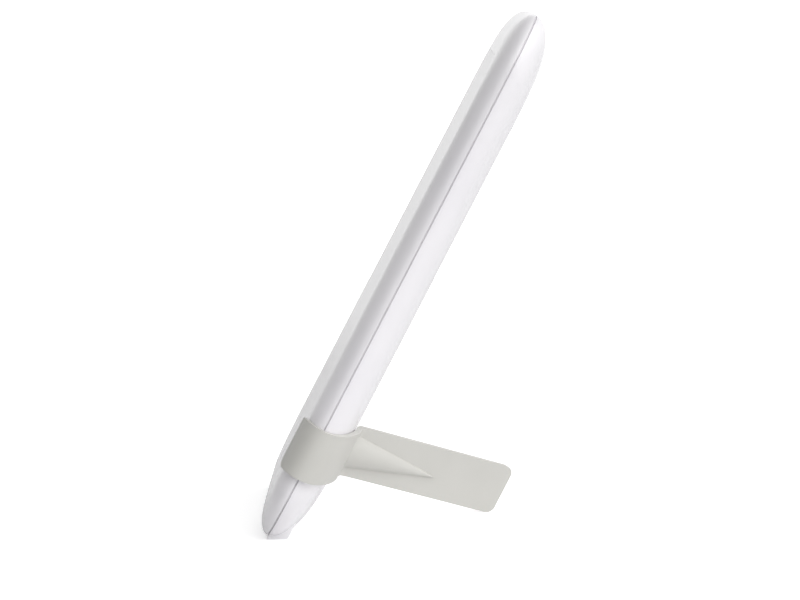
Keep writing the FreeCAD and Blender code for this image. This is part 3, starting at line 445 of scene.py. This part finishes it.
def clip_path():
    """The middle of the stand's wall seen from above, as (x, y, lower edge, upper edge), with where
    the bend ends and the directions along and across the tongue there."""
    stations = []
    front_depth, front_roll = FRONT["depth"] + CLIP_MID, FRONT["roll_side"] + CLIP_MID
    edge = HALF_WIDTH + CLIP_MID
    for start in LIP_STARTS:
        turn = math.acos(1 - (edge - HALF_WIDTH + LIP_FREE - start) / front_roll)
        x, y = -front_depth * math.sin(turn), -edge + front_roll * (1 - math.cos(turn))
        stations.append((x, y, *lip_levels(start)))
    last = math.degrees(turn)
    for step in range(1, FRONT_STEPS + 1):
        turn = math.radians(last * (1 - step / FRONT_STEPS))
        x, y = -front_depth * math.sin(turn), -edge + front_roll * (1 - math.cos(turn))
        stations.append((x, y, *clip_levels(x)))
    rear_depth, rear_roll = REAR["depth"] + CLIP_MID, REAR["roll_side"] + CLIP_MID
    for step in range(1, REAR_STEPS + 1):
        turn = math.radians(90 * step / REAR_STEPS)
        x, y = rear_depth * math.sin(turn), -edge + rear_roll * (1 - math.cos(turn))
        stations.append((x, y, *clip_levels(x)))
    centre_x, centre_y = rear_depth + BEND, -HALF_WIDTH + ARM_REACH
    to_x, to_y = TONGUE_END - centre_x, TONGUE_TIP - centre_y
    turn = math.atan2(to_x, to_y) + math.asin(BEND / math.hypot(to_x, to_y))
    for step in range(1, BEND_STEPS + 1):
        angle = turn * step / BEND_STEPS
        x, y = centre_x - BEND * math.cos(angle), centre_y + BEND * math.sin(angle)
        stations.append((x, y, *clip_levels(x)))
    bend_end = Vector((x, y, 0))
    forward = Vector((math.sin(turn), math.cos(turn), 0))
    across = Vector((math.cos(turn), -math.sin(turn), 0))
    # the wall's near face, half a wall ahead of its middle, ends where the tongue does
    lead = across.x * CLIP_THICK / 2
    run = (TONGUE_END - lead - x) / forward.x
    *_, slope = tongue_lines()
    corner_run = TONGUE_CORNER * (1 + math.sin(slope)) / forward.x
    distances = [(run - corner_run) * step / TONGUE_STEPS for step in range(1, TONGUE_STEPS + 1)]
    for step in range(1, CORNER_STEPS + 1):
        distances.append(run - corner_run * (1 - math.sin(math.radians(90 * step / CORNER_STEPS))))
    for distance in distances:
        place = bend_end + forward * distance
        stations.append((place.x, place.y, *clip_levels(min(place.x + lead, TONGUE_END))))
    return stations, bend_end, forward, across


def clip_rib(bend_end, forward, across):
    """A round gusset that rises out of the bend and tapers to a point on the tongue's near face."""
    *_, slope = tongue_lines()
    middle = bend_end + Vector((0, 0, CLIP_BASE + CLIP_RISE + CLIP_TALL / 2))
    to_tip = (forward + Vector((0, 0, math.tan(slope) * forward.x))) * RIB_LENGTH
    to_tip += across * (RIB_RADIUS - RIB_HEIGHT) - Vector((0, 0, RIB_DROP))
    behind = (BEND + RIB_RADIUS) / RIB_LENGTH
    start = middle + across * (RIB_HEIGHT - RIB_RADIUS + CLIP_THICK / 2) - to_tip * behind
    length = to_tip.length * (1 + behind)
    nothing_selected()
    bpy.ops.mesh.primitive_cone_add(
        vertices=96, radius1=RIB_RADIUS * (1 + behind), radius2=RIB_TIP, depth=length)
    rib = bpy.context.object
    aim = to_tip.to_track_quat("Z", "Y").to_matrix().to_4x4()
    rib.matrix_world = Matrix.Translation(start + to_tip.normalized() * length / 2) @ aim
    bpy.ops.object.transform_apply(location=True, rotation=True, scale=True)
    edit(rib)
    # keep the part in front of the wall's middle and behind the casing
    casing_back = Vector((REAR["depth"] + CLIP_CLEAR, 0, 0))
    for point, normal in ((bend_end, -across), (casing_back, Vector((-1, 0, 0)))):
        bpy.ops.mesh.select_all(action="SELECT")
        bpy.ops.mesh.bisect(plane_co=point, plane_no=normal, use_fill=True, clear_outer=True)
    face_outwards()
    only(rib)
    return rib


def stand_clip():
    """One springy moulding: cuff round the panel's edge, tongue behind it and a rib in the bend."""
    stations, bend_end, forward, across = clip_path()
    x, y, low, high = stations[0]
    # the panel's bowed side leans a little, and the cuff's wall with it
    side_radius = (HALF_HEIGHT**2 + SIDE_BOW**2) / (2 * SIDE_BOW)
    drop_low, drop_high = low**2 / (2 * side_radius), high**2 / (2 * side_radius)
    clip = start_point("clip_on_stand", (x, y + drop_low, low))
    rise = (high - low) / CLIP_ROWS
    for _ in range(CLIP_ROWS):
        extrude((0, (drop_high - drop_low) / CLIP_ROWS, rise))
    bpy.ops.mesh.select_all(action="SELECT")
    for next_x, next_y, next_low, next_high in stations[1:]:
        extrude((next_x - x, next_y - y, next_low - low),
                (1, 1, (next_high - next_low) / (high - low)), (0, 0, next_low))
        x, y, low, high = next_x, next_y, next_low, next_high
    modify(clip, "SOLIDIFY", thickness=CLIP_THICK, offset=0.0, use_even_offset=True)
    edit(clip)
    face_outwards()
    modify(clip, "BEVEL", width=CLIP_SOFT, segments=3, limit_method="ANGLE",
           angle_limit=math.radians(50))
    carve(clip, clip_rib(bend_end, forward, across), "UNION")
    # the rib meets the tongue's face in a crisp line
    face = bend_end + across * CLIP_THICK / 2
    *_, slope = tongue_lines()

    def on_rib_foot(place):
        behind, past = (place - face).dot(across), (place - face).dot(forward)
        middle = CLIP_BASE + CLIP_RISE + CLIP_TALL / 2 + past * math.tan(slope) * forward.x
        return abs(behind) < 0.03 and 0 < past < RIB_LENGTH + 1 and abs(place.z - middle) < RIB_RADIUS - 0.5

    smooth(clip, 40, on_rib_foot)
    return settle(clip, "stand", "warm_grey_plastic", "stand_clip")


clip = stand_clip()

# ---------------------------------------------------------------- small visible pieces


def cover_screw_heads():
    """Four pan-head screws with a cross recess, sunk in the back of the casing."""
    screw = cylinder("cover_screws_detailed", SCREW_RADIUS, SCREW_SEAT - SCREW_LENGTH, SCREW_SEAT,
                     SCREW_SIDE, SCREW_END, 40)
    edit(screw)
    pick(lambda place: place.x > SCREW_SEAT - 0.001)
    around = (SCREW_SEAT, SCREW_SIDE, SCREW_END)
    bpy.ops.mesh.select_mode(type="FACE")
    bpy.ops.mesh.inset(thickness=-(HEAD_RADIUS - SCREW_RADIUS))
    bpy.ops.mesh.select_mode(type="VERT")
    # the head's side, then its domed top, ring by ring
    for rise, draw in ((1.2, 1.0), (0.45, 0.93), (0.35, 0.84), (0.2, 0.6)):
        extrude((rise, 0, 0), (1, draw, draw), around)
    face_outwards()
    for length, width in ((3.4, 0.7), (0.7, 3.4)):
        nothing_selected()
        bpy.ops.mesh.primitive_cube_add(
            size=1, location=(SCREW_SEAT + HEAD_HEIGHT, SCREW_SIDE, SCREW_END), scale=(2.4, length, width))
        cross_arm = bpy.context.object
        bpy.ops.object.transform_apply(location=True, rotation=True, scale=True)
        edit(cross_arm)
        # the arms of the cross run to a point towards its floor
        pick(lambda place: place.x < SCREW_SEAT + 1.5)
        bpy.ops.transform.resize(value=(1, 0.55, 0.55), center_override=(0, SCREW_SIDE, SCREW_END))
        carve(screw, only(cross_arm))
    screws = [screw]
    for across_sign, up_sign in ((-1, 1), (-1, -1), (1, -1)):
        only(screw)
        bpy.ops.object.duplicate()
        twin = bpy.context.object
        twin.data.transform(Matrix.Translation(
            (0, (across_sign - 1) * SCREW_SIDE, (up_sign - 1) * SCREW_END)))
        screws.append(twin)
    screws = join(screws)
    smooth(screws, 30)
    return settle(screws, "lamp", "screw_steel", "cover_screws")


def power_inlet():
    """A round low-voltage socket: block on the board, collar through the casing, bore and pin."""
    collar, bore, bore_depth, shoulder, mouth = 4.0, 2.8, 7.0, 10.3, REAR["depth"] - 0.3
    nothing_selected()
    bpy.ops.mesh.primitive_cube_add(
        size=1, location=((BOARD_TOP + shoulder) / 2, SOCKET_ACROSS, BOARD_UP),
        scale=(shoulder - BOARD_TOP, 9.0, 10.0))
    socket = bpy.context.object
    socket.name = socket.data.name = "power_inlet_detailed"
    bpy.ops.object.transform_apply(location=True, rotation=True, scale=True)
    modify(socket, "BEVEL", width=0.4, segments=2)
    carve(socket, cylinder("collar", collar, shoulder - 1, mouth, SOCKET_ACROSS, BOARD_UP, 72), "UNION")
    carve(socket, cylinder("bore", bore, mouth - bore_depth, mouth + 1, SOCKET_ACROSS, BOARD_UP, 72))
    edit(socket)
    pick(lambda place: abs(place.x - mouth) < 0.001, "edges")
    bpy.ops.mesh.bevel(offset=0.25, segments=3, affect="EDGES")
    smooth(socket, 35)
    settle(socket, "lamp", "black_component", "dc_socket")

    pin_top = mouth - 1.1
    pin = cylinder("inlet_pin_detailed", 1.0, mouth - bore_depth, pin_top, SOCKET_ACROSS, BOARD_UP, 40)
    edit(pin)
    pick(lambda place: place.x > pin_top - 0.1)
    around = (0, SOCKET_ACROSS, BOARD_UP)
    for rise, draw in ((0.25, 0.93), (0.2, 0.8), (0.05, 0.6)):
        extrude((rise, 0, 0), (1, draw, draw), around)
    smooth(pin, 45)
    settle(pin, "lamp", "pin_nickel", "dc_socket_pin")
    return socket, pin


def power_button():
    """A round push button with a softened rim and a shallow dish, its flange inside the casing."""
    stem_radius, stem_end, flange_low, flange_high = 2.0, 8.75, 9.45, 10.45
    flange_radius, cap_radius, proud = 7.2, 6.0, REAR["depth"] + 1.0
    button = cylinder("power_button_detailed", stem_radius, stem_end, flange_low, BUTTON_ACROSS, BOARD_UP, 80)
    edit(button)
    around = (0, BUTTON_ACROSS, BOARD_UP)
    pick(lambda place: place.x > flange_low - 0.001)
    # each ring's rise and radius: the flange, the cap's side, its rounded rim, then the dish
    rings = [(0, flange_radius), (flange_high - flange_low, flange_radius), (0, cap_radius),
             (proud - 0.6 - flange_high, cap_radius), (0.3, 5.9), (0.2, 5.7), (0.1, 5.4),
             (-0.04, 5.0), (-0.16, 4.0), (-0.12, 2.6), (-0.05, 1.2)]
    radius = stem_radius
    for rise, next_radius in rings:
        extrude((rise, 0, 0), (1, next_radius / radius, next_radius / radius), around)
        radius = next_radius
    face_outwards()
    smooth(button, 40)
    return settle(button, "button", "white_gloss_shell", "power_button")


def rest_feet():
    """The two soft wedges, rounded off where their sides meet the table; in metres, as their node is."""
    rounding, hair = 0.0008, 0.00002
    feet = bpy.data.objects.new("rest_feet_softened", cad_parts["rest_feet"].data.copy())
    bpy.context.scene.collection.objects.link(feet)
    edit(feet)
    bpy.ops.mesh.select_all(action="SELECT")
    bpy.ops.mesh.remove_doubles(threshold=0.00001)
    bpy.ops.mesh.dissolve_limited(angle_limit=math.radians(3))
    mesh = bmesh.from_edit_mesh(feet.data)
    soles = [vertex.co.copy() for vertex in mesh.verts if vertex.co.z < hair]
    heel = max(place.x for place in soles) - hair / 2
    for side in sorted({round(place.y, 5) for place in soles}):

        def on_lower_side(place):
            # the sole's edge, and the short upright one at its heel
            return abs(place.y - side) < hair and place.z < (rounding if place.x > heel else hair)

        pick(on_lower_side, "edges")
        bpy.ops.mesh.bevel(offset=rounding, segments=3, affect="EDGES", clamp_overlap=False)
    bpy.ops.object.mode_set(mode="OBJECT")
    smooth(feet, 40)
    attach(feet, "lamp")
    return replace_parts(feet, "rest_feet")


screws = cover_screw_heads()
inlet, inlet_pin = power_inlet()
button = power_button()
feet = rest_feet()

# ---------------------------------------------------------------- materials


def linear(code):
    """An sRGB hex colour as linear RGBA."""
    shares = [int(code[i:i + 2], 16) / 255 for i in (1, 3, 5)]
    return [s / 12.92 if s <= 0.04045 else ((s + 0.055) / 1.055) ** 2.4 for s in shares] + [1.0]


def add_node(tree, kind, settings=None, inputs=None):
    """Adds a node with its settings; an input's value may be a number or another node's output."""
    made = tree.nodes.new(kind)
    for name, value in (settings or {}).items():
        setattr(made, name, value)
    for name, value in (inputs or {}).items():
        if isinstance(value, bpy.types.NodeSocket):
            tree.links.new(value, made.inputs[name])
        else:
            made.inputs[name].default_value = value
    return made


def surface(name, dark, light, mottle, grain, depth, rough, ior=None, metal=0.0, stretch=(1, 1, 1), **more):
    """A surface whose colour drifts between two shades over mottle millimetres, with a grain of
    grain millimetres that is depth millimetres deep and turns the roughness from rough[0] to rough[1].
    The grain is drawn out along an axis where stretch is under 1. A metal keeps the default IOR."""
    material = bpy.data.materials.new(name)
    material.use_nodes = True
    tree = material.node_tree
    shader = tree.nodes["Principled BSDF"]
    shader.inputs["Metallic"].default_value = metal
    if ior:
        shader.inputs["IOR"].default_value = ior
    for socket, value in more.items():
        shader.inputs[socket.replace("_", " ").title()].default_value = value
    place = add_node(tree, "ShaderNodeTexCoord").outputs["Object"]
    drift = add_node(tree, "ShaderNodeTexNoise", None,
                     {"Vector": place, "Scale": 1000 / mottle, "Detail": 3.0})
    shades = add_node(tree, "ShaderNodeValToRGB", None, {"Fac": drift.outputs["Fac"]})
    # noise hardly leaves the middle of its range, so that is what the shades are spread over
    for stop, position, code in zip(shades.color_ramp.elements, (0.3, 0.7), (dark, light)):
        stop.position, stop.color = position, linear(code)
    drawn = add_node(tree, "ShaderNodeMapping", None, {"Vector": place, "Scale": stretch})
    fine = add_node(tree, "ShaderNodeTexNoise", None,
                    {"Vector": drawn.outputs["Vector"], "Scale": 1000 / grain, "Detail": 4.0})
    gloss = add_node(tree, "ShaderNodeMapRange", None,
                     {"Value": fine.outputs["Fac"], "From Min": 0.3, "From Max": 0.7,
                      "To Min": rough[0], "To Max": rough[1]})
    relief = add_node(tree, "ShaderNodeBump", None,
                      {"Height": fine.outputs["Fac"], "Strength": 1.0, "Distance": depth / 1000})
    tree.links.new(shades.outputs["Color"], shader.inputs["Base Color"])
    tree.links.new(gloss.outputs["Result"], shader.inputs["Roughness"])
    tree.links.new(relief.outputs["Normal"], shader.inputs["Normal"])
    return material


def dress(material, *items):
    """Gives pieces, or CAD nodes by name, their material."""
    for item in items:
        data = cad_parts[item].data if isinstance(item, str) else item.data
        data.materials.clear()
        data.materials.append(material)


# ABS moulded in a polished tool: a clean gloss with the faintest orange peel
gloss_abs = surface("abs_gloss_white", "#F1EFF3", "#F5F3F6", 60, 2.5, 0.0012, (0.15, 0.19), 1.54)
# polypropylene from a spark-eroded tool: a satin skin of fine pits, 0.4 mm apart
satin_polypropylene = surface("polypropylene_satin_warm_grey", "#CBCAC5", "#CFCEC9", 25, 0.4, 0.006,
                              (0.42, 0.52), 1.49)
# opal cast acrylic with a satin face: dead white, and softer in its reflections than the casing
opal_acrylic = surface("acrylic_opal_satin", "#F3F1F4", "#F7F5F8", 80, 0.6, 0.002, (0.17, 0.23), 1.49)
# soft elastomer feet: dull, with a matte grain
elastomer = surface("tpe_white_matte", "#F9F8FB", "#FCFBFD", 10, 0.3, 0.004, (0.4, 0.5), 1.5)
# zinc-plated steel: slightly blue, softly pitted by the plating
zinc_steel = surface("steel_zinc_plated", "#B9BEC4", "#C6CACF", 2, 0.25, 0.003, (0.26, 0.38), None, 1.0)
# rolled aluminium sheet: fine streaks along the rolling direction
aluminium_sheet = surface("aluminium_rolled_sheet", "#C2C4C7", "#CDCFD1", 30, 0.5, 0.003, (0.32, 0.46),
                          None, 1.0, (1, 1, 0.03))
# brass turned from hexagon bar: warm, with tool rings too fine to count
turned_brass = surface("brass_turned", "#C4A05A", "#CFAE6A", 3, 0.3, 0.003, (0.25, 0.35), None, 1.0)
# nickel-plated brass pin: bright and slightly warm
nickel = surface("brass_nickel_plated", "#C9C5BD", "#D2CEC6", 2, 0.3, 0.001, (0.14, 0.2), None, 1.0)
# glass-epoxy board under green solder mask: the cloth's weave shows as a faint tone
board = surface("fr4_green_solder_mask", "#0F4A2B", "#14562F", 1.2, 0.7, 0.004, (0.28, 0.4), 1.55)
# white-coated strip board under the light strips
strip_board = surface("fr4_white_coating", "#E6E6E1", "#EEEEEA", 4, 0.5, 0.003, (0.4, 0.5), 1.55)
# silicone with yellow phosphor in each light: grainy and slightly wet
phosphor = surface("silicone_phosphor_yellow", "#E2CF6E", "#EDDD8A", 0.8, 0.2, 0.004, (0.25, 0.4), 1.41)
# white polyester film, cast smooth
polyester = surface("polyester_film_white", "#EFEFF0", "#F6F6F6", 40, 1.5, 0.002, (0.35, 0.45), 1.57)
# clear cast acrylic: glass-like, with a faint green edge
clear_acrylic = surface("acrylic_clear", "#F2F8F6", "#F6FAF9", 50, 2.0, 0.0005, (0.02, 0.05), 1.49,
                        transmission_weight=1.0)
# black glass-filled nylon of socket, switch, chip and capacitor bodies
black_nylon = surface("nylon_glass_filled_black", "#18181A", "#212124", 3, 0.35, 0.006, (0.4, 0.55), 1.53)
# natural nylon: cream, a little waxy
natural_nylon = surface("nylon_natural", "#DAD4C2", "#E2DDCD", 5, 0.5, 0.004, (0.35, 0.45), 1.53,
                        subsurface_weight=0.1, subsurface_scale=0.001)
# sintered ferrite: dark grey, dry and porous
ferrite = surface("ferrite_sintered", "#2A2A2D", "#353538", 1.5, 0.3, 0.01, (0.7, 0.85), 2.0)
# red PVC insulation, extruded
red_pvc = surface("pvc_red_extruded", "#A3231B", "#B32A20", 6, 0.6, 0.003, (0.3, 0.4), 1.53)

dress(gloss_abs, front, rear, button, "front_bezel", "rear_cover", "power_button")
dress(satin_polypropylene, clip, "stand_clip")
dress(opal_acrylic, "diffuser_panel")
dress(elastomer, feet, "rest_feet")
dress(zinc_steel, screws, "cover_screws", "plate_screws", "board_screws")
dress(aluminium_sheet, "back_plate")
dress(turned_brass, "cover_standoffs")
dress(nickel, inlet_pin, "dc_socket_pin")
dress(board, "driver_board")
dress(strip_board, "led_board_near", "led_board_far")
dress(phosphor, "led_chips_near", "led_chips_far")
dress(polyester, "diffusing_film", "reflector_sheet")
dress(clear_acrylic, "light_guide")
dress(black_nylon, inlet, "dc_socket", "push_switch", "driver_capacitors", "driver_chip")
dress(natural_nylon, "lead_connectors", "switch_plunger")
dress(ferrite, "driver_coil")
dress(red_pvc, "lead_near", "lead_far")

# ---------------------------------------------------------------- floor and light, in metres

FLOOR_SIZE, FLOOR_GLOW, BOUNCE_GLOW, BOUNCE_DROP = 2.0, 0.42, 0.12, 0.0002
KEY_PLACE, KEY_AIM = Vector((0.4, -1.1, 1.1)), Vector((0, 0, 0.1))
KEY_SIZE, KEY_POWER = 0.9, 2.0
# azimuth from +X and elevation in degrees, and brightness; the face looks towards azimuth 180
POOLS = [
    (0, 5, 0.7), (0, 45, 1.3), (45, 5, 0.7), (90, 5, 1.05), (135, 5, 0.4), (135, 45, 0.3),
    (225, 45, 0.65), (270, 45, 1.0), (315, 5, 1.0), (315, 45, 1.5),
]
# a pool fades as this power of the cosine from its middle
POOL_FALL = 8.0


def floor_sheet(name, height, shade, glow):
    """A square of matt paper at one height; glow is how much it is over-exposed."""
    nothing_selected()
    bpy.ops.mesh.primitive_plane_add(size=FLOOR_SIZE, location=(0, 0, height))
    sheet = bpy.context.object
    sheet.name = name
    dress(surface(f"paper_{name}", shade, shade, 200, 5, 0.0, (0.9, 0.95), 1.4,
                  emission_color=(1, 1, 1, 1), emission_strength=glow), sheet)
    return sheet


def studio():
    """A white floor, one large soft light over the viewer's right shoulder, and pools of soft light
    all round except on the panel's face side, so that the rolled edge there shades."""
    # the floor is seen bright as a studio sweep is, and a sheet under it gives the softer light it bounces
    seen = floor_sheet("floor", 0.0, "#FAFAFA", FLOOR_GLOW)
    seen.visible_diffuse = seen.visible_glossy = seen.visible_transmission = seen.visible_shadow = False
    floor_sheet("floor_bounce", -BOUNCE_DROP, "#E4E4E4", BOUNCE_GLOW)

    data = bpy.data.lights.new("key", "AREA")
    data.shape, data.size, data.energy = "DISK", KEY_SIZE, KEY_POWER
    key = bpy.data.objects.new("key", data)
    bpy.context.scene.collection.objects.link(key)
    key.location = KEY_PLACE
    key.rotation_euler = (KEY_AIM - KEY_PLACE).to_track_quat("-Z", "Y").to_euler()

    world = bpy.data.worlds.new("studio")
    bpy.context.scene.world = world
    world.use_nodes = True
    tree = world.node_tree
    direction = add_node(tree, "ShaderNodeTexCoord").outputs["Generated"]
    # what the camera sees beyond the floor is plain white
    strength = add_node(tree, "ShaderNodeLightPath").outputs["Is Camera Ray"]
    for azimuth, elevation, brightness in POOLS:
        around, up = math.radians(azimuth), math.radians(elevation)
        middle = (math.cos(up) * math.cos(around), math.cos(up) * math.sin(around), math.sin(up))
        facing = add_node(tree, "ShaderNodeVectorMath", {"operation": "DOT_PRODUCT"},
                          {0: direction, 1: middle}).outputs["Value"]
        ahead = add_node(tree, "ShaderNodeMath", {"operation": "MAXIMUM"},
                         {0: facing, 1: 0.0}).outputs["Value"]
        pool = add_node(tree, "ShaderNodeMath", {"operation": "POWER"},
                        {0: ahead, 1: POOL_FALL}).outputs["Value"]
        strength = add_node(tree, "ShaderNodeMath", {"operation": "MULTIPLY_ADD"},
                            {0: pool, 1: brightness, 2: strength}).outputs["Value"]
    tree.links.new(strength, tree.nodes["Background"].inputs["Strength"])
    tree.nodes["Background"].inputs["Color"].default_value = (1, 1, 1, 1)
    bpy.context.scene.view_settings.view_transform = "Standard"


studio()
